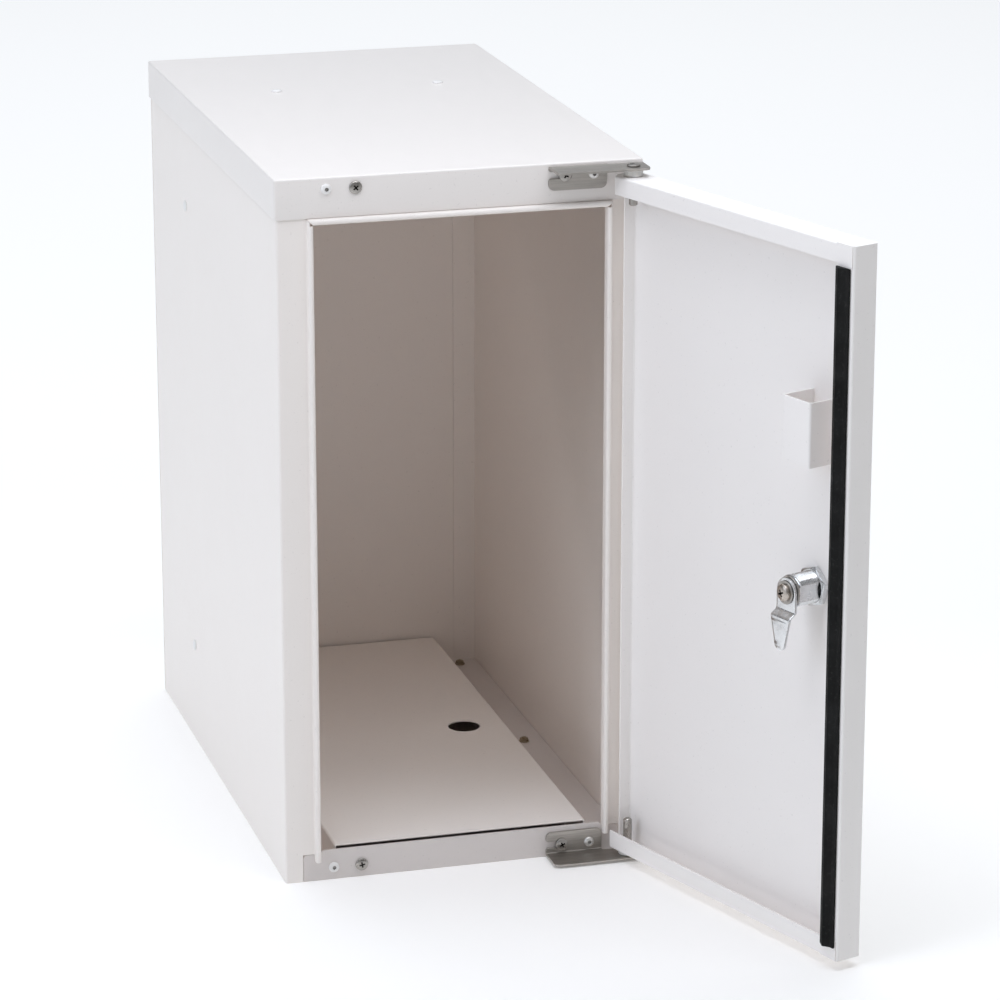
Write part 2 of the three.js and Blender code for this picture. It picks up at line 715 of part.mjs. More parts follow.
// ---- Lock, in the door's frame; its axis runs along the door's +Y ----

const LOCK_AT = [LOCK_X, 0, LOCK_Z];
const CAM_FACE = BARREL_END - STOP_WASHER_THICK - 2 * GAP;
const CAM_BACK = CAM_FACE - CAM_SHEET;

function lockHousing() {
  const seat = DOOR_DEEP + GAP;
  const profile = [
    [PLUG_CORE_R + RUN, BARREL_END],
    [BARREL_R, BARREL_END],
    [BARREL_R, seat],
    [BEZEL_R, seat],
    [BEZEL_R, seat + BEZEL_HEIGHT / 2],
    [BEZEL_R - BEZEL_CHAMFER, seat + BEZEL_HEIGHT],
    [PLUG_CORE_R + RUN, seat + BEZEL_HEIGHT],
    [PLUG_CORE_R + RUN, BARREL_END],
  ];
  let housing = turned(profile, LOCK_AT, Y);
  for (const side of [-1, 1]) {
    housing = housing.subtract(
      box(
        [LOCK_X + side * BARREL_FLAT, LOCK_X + side * BEZEL_R],
        [BARREL_END - PAST, seat],
        [LOCK_Z - BEZEL_R, LOCK_Z + BEZEL_R],
      ),
    );
  }
  return housing;
}

function lockNut() {
  const inside = DOOR_DEEP - SHEET - GAP;
  const nut = hexagon(NUT_ACROSS, "zx", inside - NUT_THICK, inside, LOCK_Z, LOCK_X);
  return nut.subtract(rod(BARREL_R + GAP, -PAST, DOOR_DEEP, LOCK_AT, Y));
}

function lockPlug() {
  const top = DOOR_DEEP + GAP + BEZEL_HEIGHT - PLUG_SET_BACK;
  const half = TANG / 2;
  const [slotWide, slotTall, slotDeep] = KEY_SLOT;
  return rod(PLUG_CORE_R, BARREL_END, top, LOCK_AT, Y)
    .add(box([LOCK_X - half, LOCK_X + half], [CAM_BACK, BARREL_END + PAST], [LOCK_Z - half, LOCK_Z + half]))
    .subtract(rod(CAM_SCREW_SHANK_R + GAP, CAM_BACK - PAST, CAM_BACK + CAM_SCREW_SHANK + GAP, LOCK_AT, Y))
    .subtract(
      box(
        [LOCK_X - slotWide / 2, LOCK_X + slotWide / 2],
        [top - slotDeep, top + PAST],
        [LOCK_Z - slotTall / 2, LOCK_Z + slotTall / 2],
      ),
    );
}

function lockCam() {
  const near = CAM_FACE - CAM_SHEET / 2;
  const far = near - CAM_OFFSET;
  const [crankStart, crankEnd] = CAM_CRANK;
  const line = [
    [near, LOCK_Z + CAM_EYE_R + PAST],
    [near, LOCK_Z - crankStart],
    [far, LOCK_Z - crankEnd],
    [far, LOCK_Z - CAM_LENGTH - PAST],
  ];
  const sheet = prism(
    bentSheet(line, CAM_SHEET, CAM_BEND),
    "yz",
    LOCK_X - CAM_EYE_R - PAST,
    LOCK_X + CAM_EYE_R + PAST,
  );
  const plan = roundedOutline([
    [LOCK_Z + CAM_EYE_R, LOCK_X - CAM_EYE_R, CAM_EYE_ROUND],
    [LOCK_Z + CAM_EYE_R, LOCK_X + CAM_EYE_R, CAM_EYE_ROUND],
    [LOCK_Z - crankEnd, LOCK_X + CAM_EYE_R, 0],
    [LOCK_Z - CAM_LENGTH, LOCK_X + CAM_TIP_HALF, CAM_TIP_R],
    [LOCK_Z - CAM_LENGTH, LOCK_X - CAM_TIP_HALF, CAM_TIP_R],
    [LOCK_Z - crankEnd, LOCK_X - CAM_EYE_R, 0],
  ]);
  return sheet.intersect(prism(plan, "zx", far - CAM_SHEET, near + CAM_SHEET)).subtract(squareHole());
}

function squareHole() {
  const half = TANG / 2 + GAP / 2;
  return box([LOCK_X - half, LOCK_X + half], [CAM_BACK - PAST, BARREL_END], [LOCK_Z - half, LOCK_Z + half]);
}

function stopWasher() {
  const top = BARREL_END - GAP;
  return rod(STOP_WASHER_R, top - STOP_WASHER_THICK, top, LOCK_AT, Y).subtract(squareHole());
}

function lockWasher() {
  const top = CAM_BACK - GAP;
  return ring(CAM_SCREW_SHANK_R + GAP, LOCK_WASHER_R, top - LOCK_WASHER_THICK, top, LOCK_AT, Y);
}

function camScrew() {
  const seat = [LOCK_X, CAM_BACK - LOCK_WASHER_THICK - 2 * GAP, LOCK_Z];
  const away = new THREE.Vector3(0, -1, 0);
  const dome = domeProfile(CAM_SCREW_R, CAM_SCREW_HEIGHT, CAM_SCREW_HEIGHT * HEAD_RIM);
  dome[dome.length - 1][0] = 0;
  const shank = [[0, -CAM_SCREW_SHANK], [CAM_SCREW_SHANK_R, -CAM_SCREW_SHANK], [CAM_SCREW_SHANK_R, 0]];
  const recess = crossRecess(seat, away, CAM_SCREW_HEIGHT, CAM_CROSS_LENGTH, CAM_CROSS_WIDTH);
  return turned([...shank, [CAM_SCREW_R, 0], ...dome], seat, away).subtract(recess);
}

// ---- Assembly ----

const group = new THREE.Group();
const door = new THREE.Group();
const openTurn = THREE.MathUtils.degToRad(180 + OPEN_ANGLE);
const pinInDoor = new THREE.Vector3(DOOR_PIN_X, DOOR_PIN_Y, 0).applyAxisAngle(Z, openTurn);
door.rotation.z = openTurn;
door.position.set(PIN_X - pinInDoor.x, PIN_Y - pinInDoor.y, 0);
group.add(door);

function place(name, solid, finish, parent = group) {
  const mesh = new THREE.Mesh(toGeometry(solid), new THREE.MeshStandardMaterial(FINISH[finish]));
  mesh.name = name;
  parent.add(mesh);
}

const FRONTWARD = new THREE.Vector3(0, -1, 0);
const LEFTWARD = new THREE.Vector3(-1, 0, 0);
const SHANK = 3;
const BRACKET_SHANK = SHANK + BRACKET_SHEET + GAP;

place("top_cap", topCap(), "cap");
place("left_side_panel", sidePanel(-1), "body");
place("right_side_panel", sidePanel(1), "body");
place("back_panel", backPanel(), "body");
place("top_rail", topRail(), "body");
place("bottom_tray", bottomTray(), "tray");
place("floor_plate", floorPlate(), "tray");
for (const [sideName, side] of [["left", -1], ["right", 1]]) {
  FLOOR_BOLT_Y.forEach((y, i) => {
    place("floor_bolt_" + sideName + "_" + (i + 1), floorBolt(side * FLOOR_BOLT_X, y), "steel");
  });
}

const capFace = FRONT - GAP;
const trayFace = BODY_FRONT - GAP;
place("cap_rivet", rivet([-RIVET_X, capFace, FIX_Z_TOP], FRONTWARD, SHANK), "rivet");
place("cap_screw", screw([-SCREW_X, capFace, FIX_Z_TOP], FRONTWARD, SHANK), "steel");
place("tray_rivet", rivet([-RIVET_X, trayFace, FIX_Z_BOTTOM], FRONTWARD, SHANK), "rivet");
place("tray_screw", screw([-SCREW_X, trayFace, FIX_Z_BOTTOM], FRONTWARD, SHANK), "steel");
SIDE_PLUG_Z.forEach((z, i) => {
  place("side_plug_" + (i + 1), plug([-BODY_HALF - GAP, SIDE_PLUG_Y, z], LEFTWARD), "rivet");
});
TOP_PLUG_X.forEach((x, i) => {
  place("top_plug_" + (i + 1), plug([x, TOP_PLUG_Y, HEIGHT + GAP], Z), "rivet");
});

const washerGaps = {
  upper: [DOOR_HIGH, BRACKET_HIGH - BRACKET_SHEET],
  lower: [BRACKET_LOW + BRACKET_SHEET, DOOR_LOW],
};
const hinges = [
  ["upper", 1, capFace, FIX_Z_TOP],
  ["lower", -1, trayFace, FIX_Z_BOTTOM],
];
for (const [name, way, face, z] of hinges) {
  const leafFace = face - BRACKET_SHEET - GAP;
  place(name + "_bracket", bracket(way), "stainless");
  place(name + "_bracket_rivet", rivet([RIVET_X, leafFace, z], FRONTWARD, BRACKET_SHANK), "steel");
  place(name + "_bracket_screw", screw([SCREW_X, leafFace, z], FRONTWARD, BRACKET_SHANK), "steel");
  place(name + "_hinge_pin", hingePin(way), "steel");
  place(name + "_washer", washer(...washerGaps[name]), "nylon");
}

place("door_panel", doorPanel(), "door", door);
place("door_seal", doorSeal(), "rubber", door);
place("channel_bracket", channelBracket(), "door", door);
place("lock_housing", lockHousing(), "chrome", door);
place("lock_nut", lockNut(), "chrome", door);
place("lock_plug", lockPlug(), "chrome", door);
place("lock_stop_washer", stopWasher(), "steel", door);
place("lock_cam", lockCam(), "chrome", door);
place("lock_washer", lockWasher(), "steel", door);
place("cam_screw", camScrew(), "chrome", door);

export default group;
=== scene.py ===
"""Looks of the parcel drop box: materials, fasteners, lock and cap detail, camera and light."""

import json
import math

import bmesh
import bpy
from mathutils import Matrix, Vector


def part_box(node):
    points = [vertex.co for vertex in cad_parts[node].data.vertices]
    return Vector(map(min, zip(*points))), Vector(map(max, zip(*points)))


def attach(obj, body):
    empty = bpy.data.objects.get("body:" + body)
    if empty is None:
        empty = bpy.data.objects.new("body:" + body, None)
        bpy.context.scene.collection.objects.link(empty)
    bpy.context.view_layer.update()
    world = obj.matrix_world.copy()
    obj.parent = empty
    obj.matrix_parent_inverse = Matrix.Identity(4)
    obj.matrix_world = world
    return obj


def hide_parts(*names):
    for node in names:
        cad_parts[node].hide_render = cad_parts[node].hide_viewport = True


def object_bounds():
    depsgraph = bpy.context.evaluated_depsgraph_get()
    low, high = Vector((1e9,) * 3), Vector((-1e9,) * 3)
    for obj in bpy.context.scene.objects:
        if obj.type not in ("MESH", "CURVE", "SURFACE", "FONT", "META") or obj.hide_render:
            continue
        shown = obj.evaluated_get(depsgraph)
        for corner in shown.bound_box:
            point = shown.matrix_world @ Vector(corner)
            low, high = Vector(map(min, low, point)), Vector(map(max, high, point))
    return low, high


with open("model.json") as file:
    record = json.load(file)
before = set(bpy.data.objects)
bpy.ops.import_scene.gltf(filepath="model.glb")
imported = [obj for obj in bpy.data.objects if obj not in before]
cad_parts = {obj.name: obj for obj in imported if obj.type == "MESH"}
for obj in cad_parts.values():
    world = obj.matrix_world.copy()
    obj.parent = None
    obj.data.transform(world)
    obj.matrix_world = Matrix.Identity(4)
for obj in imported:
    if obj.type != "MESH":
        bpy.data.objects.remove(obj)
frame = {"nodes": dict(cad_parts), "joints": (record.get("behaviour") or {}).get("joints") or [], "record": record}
start_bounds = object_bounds()

MM = 0.001

# ---------------------------------------------------------------- materials


class Shader:
    """A principled material built from procedural textures on object coordinates, in metres."""

    def __init__(self, name, color, roughness, metallic=0.0):
        self.material = bpy.data.materials.new(name)
        self.material.use_nodes = True
        self.tree = self.material.node_tree
        self.bsdf = next(n for n in self.tree.nodes if n.type == "BSDF_PRINCIPLED")
        self.coordinates = self.node("ShaderNodeTexCoord").outputs["Object"]
        self.color = color
        self.roughness = roughness
        self.bsdf.inputs["Base Color"].default_value = (*color, 1)
        self.bsdf.inputs["Roughness"].default_value = roughness
        self.bsdf.inputs["Metallic"].default_value = metallic

    def node(self, kind, **settings):
        made = self.tree.nodes.new(kind)
        for key, value in settings.items():
            setattr(made, key, value)
        return made

    def link(self, source, target):
        self.tree.links.new(source, target)

    def noise(self, scale, stretch=(1, 1, 1), detail=3, rough=0.55):
        place = self.node("ShaderNodeMapping")
        place.inputs["Scale"].default_value = stretch
        self.link(self.coordinates, place.inputs["Vector"])
        made = self.node("ShaderNodeTexNoise")
        made.inputs["Scale"].default_value = scale
        made.inputs["Detail"].default_value = detail
        made.inputs["Roughness"].default_value = rough
        self.link(place.outputs["Vector"], made.inputs["Vector"])
        return made.outputs["Fac"]

    def spread(self, value, low, high, start=0.35, end=0.65):
        made = self.node("ShaderNodeMapRange")
        made.inputs["From Min"].default_value = start
        made.inputs["From Max"].default_value = end
        made.inputs["To Min"].default_value = low
        made.inputs["To Max"].default_value = high
        self.link(value, made.inputs["Value"])
        return made.outputs["Result"]

    def tint(self, value, other, current=None):
        """Mixes the colour so far with another one, by a value from 0 to 1."""
        made = self.node("ShaderNodeMix", data_type="RGBA")
        self.link(value, made.inputs["Factor"])
        if current is None:
            made.inputs["A"].default_value = (*self.color, 1)
        else:
            self.link(current, made.inputs["A"])
        made.inputs["B"].default_value = (*other, 1)
        self.link(made.outputs["Result"], self.bsdf.inputs["Base Color"])
        return made.outputs["Result"]

    def rough(self, value, low, high):
        self.link(self.spread(value, low, high), self.bsdf.inputs["Roughness"])

    def bump(self, height, strength, distance):
        made = self.node("ShaderNodeBump")
        made.inputs["Strength"].default_value = strength
        made.inputs["Distance"].default_value = distance
        self.link(height, made.inputs["Height"])
        previous = self.bsdf.inputs["Normal"].links
        if previous:
            self.link(previous[0].from_socket, made.inputs["Normal"])
        self.link(made.outputs["Normal"], self.bsdf.inputs["Normal"])


COAT_SPECULAR = 0.45
RUBBER_SPECULAR = 0.22
DUST = (0.06, 0.06, 0.057)


def scaled(color, by):
    """A colour made darker or lighter."""
    return tuple(c * by for c in color)


def powder_coat(name, color, roughness=0.4):
    """Sprayed and baked powder: an orange-peel skin, faint mottling and a few dull handling marks."""
    s = Shader(name, color, roughness)
    s.bsdf.inputs["Specular IOR Level"].default_value = COAT_SPECULAR
    mottle = s.tint(s.spread(s.noise(scale=11, detail=4), low=0, high=0.5), scaled(color, by=0.985))
    specks = s.spread(s.noise(scale=520, detail=1), low=0, high=0.55, start=0.7, end=0.8)
    s.tint(specks, scaled(color, by=0.8), mottle)
    s.rough(s.noise(scale=90, detail=3), low=roughness - 0.02, high=roughness + 0.03)
    s.bump(s.noise(scale=620, detail=2), strength=0.3, distance=0.00005)
    return s.material


def brushed(name, color, roughness, stretch):
    """Metal with a grain: fine streaks in its colour, sheen and height."""
    s = Shader(name, color, roughness, metallic=1.0)
    grain = s.noise(scale=1, stretch=stretch, detail=4, rough=0.7)
    cloud = s.noise(scale=70, detail=3)
    streaks = s.tint(s.spread(grain, low=0, high=1, start=0.3, end=0.7), scaled(color, by=0.72))
    s.tint(s.spread(cloud, low=0, high=0.5), scaled(color, by=0.8), streaks)
    s.rough(grain, low=roughness - 0.08, high=roughness + 0.12)
    s.bump(grain, strength=0.25, distance=0.00002)
    return s.material


def plated(name, color, roughness):
    """Bright plating over a turned or pressed part, with faint clouding and pits."""
    s = Shader(name, color, roughness, metallic=1.0)
    s.tint(s.spread(s.noise(scale=240, detail=3), low=0, high=0.6), scaled(color, by=0.86))
    s.rough(s.noise(scale=160, detail=4), low=roughness * 0.7, high=roughness * 1.7)
    s.bump(s.noise(scale=900, detail=2), strength=0.15, distance=0.00002)
    return s.material


def black_rubber(name, color):
    """Extruded rubber: dull, with lengthwise drag lines and a little pale dust."""
    s = Shader(name, color, roughness=0.72)
    s.bsdf.inputs["Specular IOR Level"].default_value = RUBBER_SPECULAR
    dust = s.spread(s.noise(scale=420, detail=5, rough=0.7), low=0, high=0.5, start=0.55, end=0.8)
    s.tint(dust, DUST)
    s.rough(s.noise(scale=60, detail=3), low=0.6, high=0.85)
    s.bump(s.noise(scale=1, stretch=(900, 900, 20), detail=3), strength=0.4, distance=0.0001)
    return s.material


def nylon(name, color):
    """Moulded nylon: slightly translucent, with a soft mottle."""
    s = Shader(name, color, roughness=0.45)
    s.bsdf.inputs["Subsurface Weight"].default_value = 0.15
    s.bsdf.inputs["Subsurface Radius"].default_value = (0.002, 0.0018, 0.0015)
    s.tint(s.spread(s.noise(scale=180), low=0, high=0.6), scaled(color, by=0.9))
    s.bump(s.noise(scale=700), strength=0.2, distance=0.00003)
    return s.material


BRUSHED_ALONG_X = (35, 900, 900)
LOOK = {
    # Painted shade: the cap's coat is set darker than the body's so its strongly lit top comes out less bright.
    "cap_paint": powder_coat("cap_coat_painted_shade", (0.86, 0.825, 0.80), 0.34),
    "body_paint": powder_coat("body_powder_coat", (0.905, 0.86, 0.825), 0.38),
    "tray_paint": powder_coat("tray_powder_coat", (0.925, 0.88, 0.84), 0.4),
    # Painted shade: the bottom tray's coat is set darker than the other sheets' to stand in for the shade on its
    # low front near the floor.
    "bottom_tray": powder_coat("pan_coat_painted_shade", (0.70, 0.655, 0.635), 0.42),
    "door_paint": powder_coat("door_powder_coat", (0.925, 0.90, 0.885), 0.42),
    "rivet_paint": powder_coat("rivet_paint", (0.84, 0.83, 0.82), 0.34),
    "fastener_steel": plated("plated_steel", (0.42, 0.40, 0.375), 0.27),
    "stainless": brushed("brushed_stainless", (0.52, 0.49, 0.455), 0.36, BRUSHED_ALONG_X),
    "chrome": plated("bright_plating", (0.72, 0.73, 0.74), 0.19),
    "rubber": black_rubber("black_rubber", (0.005, 0.0052, 0.005)),
    # Partly painted shade: grey for the bare steel stem, also darkening the rivet hole's wall to stand for its
    # shade.
    "rivet_core": plated("rivet_core_shadow", (0.34, 0.33, 0.31), 0.4),
    # Painted shade: near-black for the hollows of Phillips recesses.
    "recess": plated("recess_shadow", (0.035, 0.03, 0.026), 0.6),
    "floor_bolt": plated("yellow_zinc", (0.40, 0.34, 0.25), 0.32),
    "bracket_rivet": plated("bright_zinc", (0.78, 0.77, 0.75), 0.34),
    "cam_screw": plated("warm_nickel", (0.52, 0.47, 0.42), 0.24),
    "nylon": nylon("pale_nylon", (0.80, 0.79, 0.76)),
}
SLOT_OF = {s["node"]: s["material_slot"] for s in frame["record"]["subparts"]}
# The bottom tray takes the darker coat above, which is painted shade.
OWN_LOOK = {"bottom_tray": "bottom_tray", "cam_screw": "cam_screw"}
OWN_LOOK.update({n: "floor_bolt" for n in SLOT_OF if n.startswith("floor_bolt_")})
OWN_LOOK.update({n: "bracket_rivet" for n in SLOT_OF if n.endswith("_bracket_rivet")})
BODY_OF = {n: b for b, nodes in frame["record"]["behaviour"]["bodies"].items() for n in nodes}

# ---------------------------------------------------------------- pieces carried over from the CAD

EDGE_SOFTNESS = {"cap_paint": 0.35, "stainless": 0.3, "chrome": 0.3, "rubber": 0.5, "nylon": 0.4}
DEFAULT_SOFTNESS = 0.28
WELD_DISTANCE = 2e-6
FLAT_DEGREES = 0.8
EDGE_DEGREES = 32
FACE_WEIGHT = 80


def soften(obj, width):
    """Rounds the sharp edges a little, and shades the rest smoothly, without touching the mesh itself."""
    weld = obj.modifiers.new("weld", "WELD")
    weld.merge_threshold = WELD_DISTANCE
    flat = obj.modifiers.new("flat_faces", "DECIMATE")
    flat.decimate_type = "DISSOLVE"
    flat.angle_limit = math.radians(FLAT_DEGREES)
    bevel = obj.modifiers.new("soft_edges", "BEVEL")
    bevel.width = width * MM
    bevel.segments = 2
    bevel.limit_method = "ANGLE"
    bevel.angle_limit = math.radians(EDGE_DEGREES)
    bevel.miter_outer = "MITER_ARC"
    bevel.use_clamp_overlap = True
    shade = obj.modifiers.new("even_shading", "WEIGHTED_NORMAL")
    shade.keep_sharp = True
    shade.weight = FACE_WEIGHT


def look_of(node):
    """A node's own look where it has one, and its slot's look otherwise."""
    return LOOK[OWN_LOOK.get(node, SLOT_OF[node])]


for node, obj in frame["nodes"].items():
    mesh = obj.data
    if "custom_normal" in mesh.attributes:
        mesh.attributes.remove(mesh.attributes["custom_normal"])
    mesh.shade_smooth()
    mesh.materials.clear()
    mesh.materials.append(look_of(node))
    soften(obj, EDGE_SOFTNESS.get(SLOT_OF[node], DEFAULT_SOFTNESS))

# ---------------------------------------------------------------- building helpers

DOUBLE_DISTANCE = 1e-7


def add_piece(name, mesh, node, matrix=None, smooth=35, inner="recess"):
    """A visual piece that stands for one CAD node, and takes its body, and its material by the node's slot, from
    it.
    """
    obj = bpy.data.objects.new(name, mesh)
    bpy.context.collection.objects.link(obj)
    if matrix is not None:
        mesh.transform(matrix)
    recessed = [polygon.material_index for polygon in mesh.polygons]
    mesh.materials.clear()
    mesh.materials.append(look_of(node))
    if any(recessed):
        mesh.materials.append(LOOK[inner])
        mesh.polygons.foreach_set("material_index", recessed)
    mesh.shade_smooth()
    mesh.set_sharp_from_angle(angle=math.radians(smooth))
    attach(obj, BODY_OF[node])
    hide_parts(node)
    return obj


def mesh_of(name, vertices, faces):
    """A mesh from points in metres and faces, with doubled points merged and its faces turned outwards."""
    mesh = bpy.data.meshes.new(name)
    mesh.from_pydata(vertices, [], faces)
    bm = bmesh.new()
    bm.from_mesh(mesh)
    bmesh.ops.remove_doubles(bm, verts=bm.verts, dist=DOUBLE_DISTANCE)
    bmesh.ops.recalc_face_normals(bm, faces=bm.faces)
    bm.to_mesh(mesh)
    bm.free()
    return mesh


def lathe(name, profile, steps):
    """A solid of revolution round +Z from (radius, height) pairs in millimetres.
    It is a closed ring unless its profile meets the axis."""
    closed = profile[0][0] > 0 and profile[-1][0] > 0
    vertices, faces = [], []
    for k in range(steps):
        angle = 2 * math.pi * k / steps
        for r, h in profile:
            vertices.append((r * MM * math.cos(angle), r * MM * math.sin(angle), h * MM))
    n = len(profile)
    for k in range(steps):
        a, b = k * n, ((k + 1) % steps) * n
        for i in range(n if closed else n - 1):
            j = (i + 1) % n
            faces.append((a + i, b + i, b + j, a + j))
    return mesh_of(name, vertices, faces)


def arc(centre, radius, start, end, steps):
    """Points round a circle from one angle to another, in degrees."""
    return [
        (
            centre[0] + radius * math.cos(math.radians(start + (end - start) * i / steps)),
            centre[1] + radius * math.sin(math.radians(start + (end - start) * i / steps)),
        )
        for i in range(steps + 1)
    ]


def facing(point, direction, turn=0.0):
    """The matrix that puts a part drawn along +Z at a point, pointing in a direction, turned about itself."""
    aim = Vector(direction).to_track_quat("Z", "Y").to_matrix().to_4x4()
    return Matrix.Translation(point) @ aim @ Matrix.Rotation(math.radians(turn), 4, "Z")


def cut(mesh, cutter):
    """mesh with the cutter mesh taken away, as a new mesh."""
    a = bpy.data.objects.new("cut_target", mesh)
    b = bpy.data.objects.new("cut_tool", cutter)
    for o in (a, b):
        bpy.context.collection.objects.link(o)
    boolean = a.modifiers.new("cut", "BOOLEAN")
    boolean.operation = "DIFFERENCE"
    boolean.solver = "EXACT"
    boolean.object = b
    result = bpy.data.meshes.new_from_object(a.evaluated_get(bpy.context.evaluated_depsgraph_get()))
    for o in (a, b):
        bpy.data.objects.remove(o)
    return result


def middle(node):
    """The middle of a CAD node's box."""
    lo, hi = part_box(node)
    return (lo + hi) / 2


# ---------------------------------------------------------------- fasteners

FRONTWARD = Vector((0, -1, 0))
UPWARD = Vector((0, 0, 1))
LEFTWARD = Vector((-1, 0, 0))
# Heads are drawn from the seating face up; their underside closes the gap to the sheet below it.
SEAT = -0.3
CUTTER_ABOVE = 0.5
# Shares of a Phillips recess's reach and width that are left at its foot.
CROSS_FOOT = (0.45, 0.6)
# A pan head: shares of its height that stand upright and that the recess takes, its under edge and crown.
SCREW_RIM = 0.28
SCREW_RECESS = 0.75
SCREW_UNDER = 0.25
SCREW_CROWN = range(8, 90, 9)
RECESS_BELOW_CROWN = 0.12
# A rivet head: its edges and crown, and the shares of its height and hole that shape the core.
RIVET_UNDER = (0.1, 0.2)
RIVET_EDGE = 0.1
RIVET_CROWN = (12, 80, 6)
RIVET_CROWN_LOW = 0.2
RIVET_LIP = 0.35
CORE_EDGE = (0.15, 0.2)
CORE_WALL = (0.92, 0.35)
STEM_FOOT = (0.75, 0.35)
STEM_EDGE = (0.7, 0.55)
STEM_TOP = 0.6
CORE_FROM = 0.3


def cross_cutter(reach, width, depth, top):
    """A Phillips recess: one plus-shaped plug that narrows downwards."""
    vertices = []
    foot_reach, foot_width = CROSS_FOOT
    levels = ((top - depth, reach * foot_reach, width * foot_width), (top + CUTTER_ABOVE, reach, width))
    for z, long, wide in levels:
        for turn in range(4):
            spin = Matrix.Rotation(math.radians(90 * turn), 3, "Z")
            for x, y in ((wide, -wide), (long, -wide), (long, wide)):
                vertices.append(spin @ Vector((x * MM, y * MM, z * MM)))
    count = len(vertices) // 2
    faces = [tuple(range(count)), tuple(range(count, 2 * count))]
    faces += [(k, (k + 1) % count, count + (k + 1) % count, count + k) for k in range(count)]
    return mesh_of("cross_cutter", vertices, faces)


def pan_screw(name, radius, height, reach, width):
    """A domed head with a Phillips recess, whose faces take a near-black look: painted shade in the recess."""
    rim = height * SCREW_RIM
    crown = [
        (radius * math.cos(t), rim + (height - rim) * math.sin(t))
        for t in (math.radians(a) for a in SCREW_CROWN)
    ]
    under = [(0, SEAT), (radius - SCREW_UNDER, SEAT), (radius, SEAT + SCREW_UNDER)]
    head = lathe(name, [*under, (radius, rim), *crown, (0, height)], steps=56)
    made = cut(head, cross_cutter(reach, width, height * SCREW_RECESS, height))
    made.materials.clear()
    made.materials.append(LOOK["fastener_steel"])
    made.materials.append(LOOK["recess"])
    for polygon in made.polygons:
        x, y, z = polygon.center / MM
        out = min(math.hypot(x, y) / radius, 1)
        crown_z = rim + (height - rim) * math.sqrt(1 - out * out)
        # Faces sunk in the recess take the painted-shade look.
        sunk = rim / 2 < z < crown_z - RECESS_BELOW_CROWN
        polygon.material_index = int(sunk and max(abs(x), abs(y)) < reach)
    return made


def blind_rivet(name, radius, height, hole):
    """A domed rivet head with a hole in its middle and the broken stem inside it."""
    wide = radius - hole - RIVET_LIP
    crown = arc((hole + RIVET_LIP, 0), wide, *RIVET_CROWN)
    crown = [(r, RIVET_CROWN_LOW + h / wide * (height - RIVET_CROWN_LOW)) for r, h in crown]
    core = [(hole + CORE_EDGE[0], height), (hole, height - CORE_EDGE[1])]
    core += [(hole * CORE_WALL[0], height * CORE_WALL[1])]
    stem = [(hole * r, height * h) for r, h in (STEM_FOOT, STEM_EDGE)] + [(0, height * STEM_TOP)]
    under = [(0, SEAT), (radius - RIVET_UNDER[0], SEAT)]
    under += [(radius, SEAT + RIVET_UNDER[1]), (radius, RIVET_EDGE)]
    made = lathe(name, [*under, *crown, *core, *stem], steps=48)
    made.materials.append(LOOK["rivet_paint"])
    made.materials.append(LOOK["rivet_core"])
    # The hole's wall and the stem take that grey: partly the stem's bare metal, partly painted shade in the hole.
    for polygon in made.polygons:
        x, y, z = polygon.center / MM
        polygon.material_index = int(math.hypot(x, y) < hole and z > height * CORE_FROM)
    return made


HEAD_TOP = 1.9
SCREW_HEAD_R, RIVET_HEAD_R, RIVET_HOLE_R = 4.5, 3.7, 1.3
CROSS_REACH, CROSS_HALF_WIDTH = 2.5, 0.62
SCREW_TURNS = {"cap_screw": 38, "tray_screw": 12, "upper_bracket_screw": 60, "lower_bracket_screw": 25}


def under_head(node):
    """The middle of a front-facing head's seat."""
    at = middle(node)
    at.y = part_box(node)[0].y + HEAD_TOP * MM
    return at


for node, turn in SCREW_TURNS.items():
    mesh = pan_screw(node + "_head", SCREW_HEAD_R, HEAD_TOP, CROSS_REACH, CROSS_HALF_WIDTH)
    add_piece(node + "_head", mesh, node, facing(under_head(node), FRONTWARD, turn))
for node in ("cap_rivet", "tray_rivet", "upper_bracket_rivet", "lower_bracket_rivet"):
    mesh = blind_rivet(node + "_head", RIVET_HEAD_R, HEAD_TOP, RIVET_HOLE_R)
    add_piece(node + "_head", mesh, node, facing(under_head(node), FRONTWARD), inner="rivet_core")


HEX_STEPS = 96
# Share of a hexagon's half width that stays flat on its faces, and the angle and edge of its chamfers.
HEX_FLAT = 0.985
HEX_CHAMFER_DEGREES = 32
BORE_CHAMFER = 0.5


def hex_radius(across, angle):
    """Distance from the centre to a hexagon's side in a given direction."""
    return across / 2 / math.cos((angle + math.pi / 6) % (math.pi / 3) - math.pi / 6)


def chamfered_hex(name, across, bottom, top, bore=0.0):
    """A hexagon head or nut, with both faces chamfered as a turned bar is."""
    flat = across / 2 * HEX_FLAT
    vertices, faces = [], []
    for k in range(HEX_STEPS):
        angle = 2 * math.pi * k / HEX_STEPS
        out = hex_radius(across, angle)
        drop = (out - flat) * math.tan(math.radians(HEX_CHAMFER_DEGREES))
        ring = [(flat, bottom), (out, bottom + drop), (out, top - drop), (flat, top)]
        if bore:
            ring = [(bore, bottom), *ring, (bore + BORE_CHAMFER, top), (bore, top - BORE_CHAMFER)]
        else:
            ring = [(0, bottom), *ring, (0, top)]
        for r, h in ring:
            vertices.append((r * MM * math.cos(angle), r * MM * math.sin(angle), h * MM))
    rows = len(ring)
    for k in range(HEX_STEPS):
        a, b = k * rows, ((k + 1) % HEX_STEPS) * rows
        for i in range(rows if bore else rows - 1):
            j = (i + 1) % rows
            faces.append((a + i, b + i, b + j, a + j))
    return mesh_of(name, vertices, faces)


def join(name, meshes):
    """Several meshes as one."""
    bm = bmesh.new()
    for mesh in meshes:
        bm.from_mesh(mesh)
    joined = bpy.data.meshes.new(name)
    bm.to_mesh(joined)
    bm.free()
    return joined


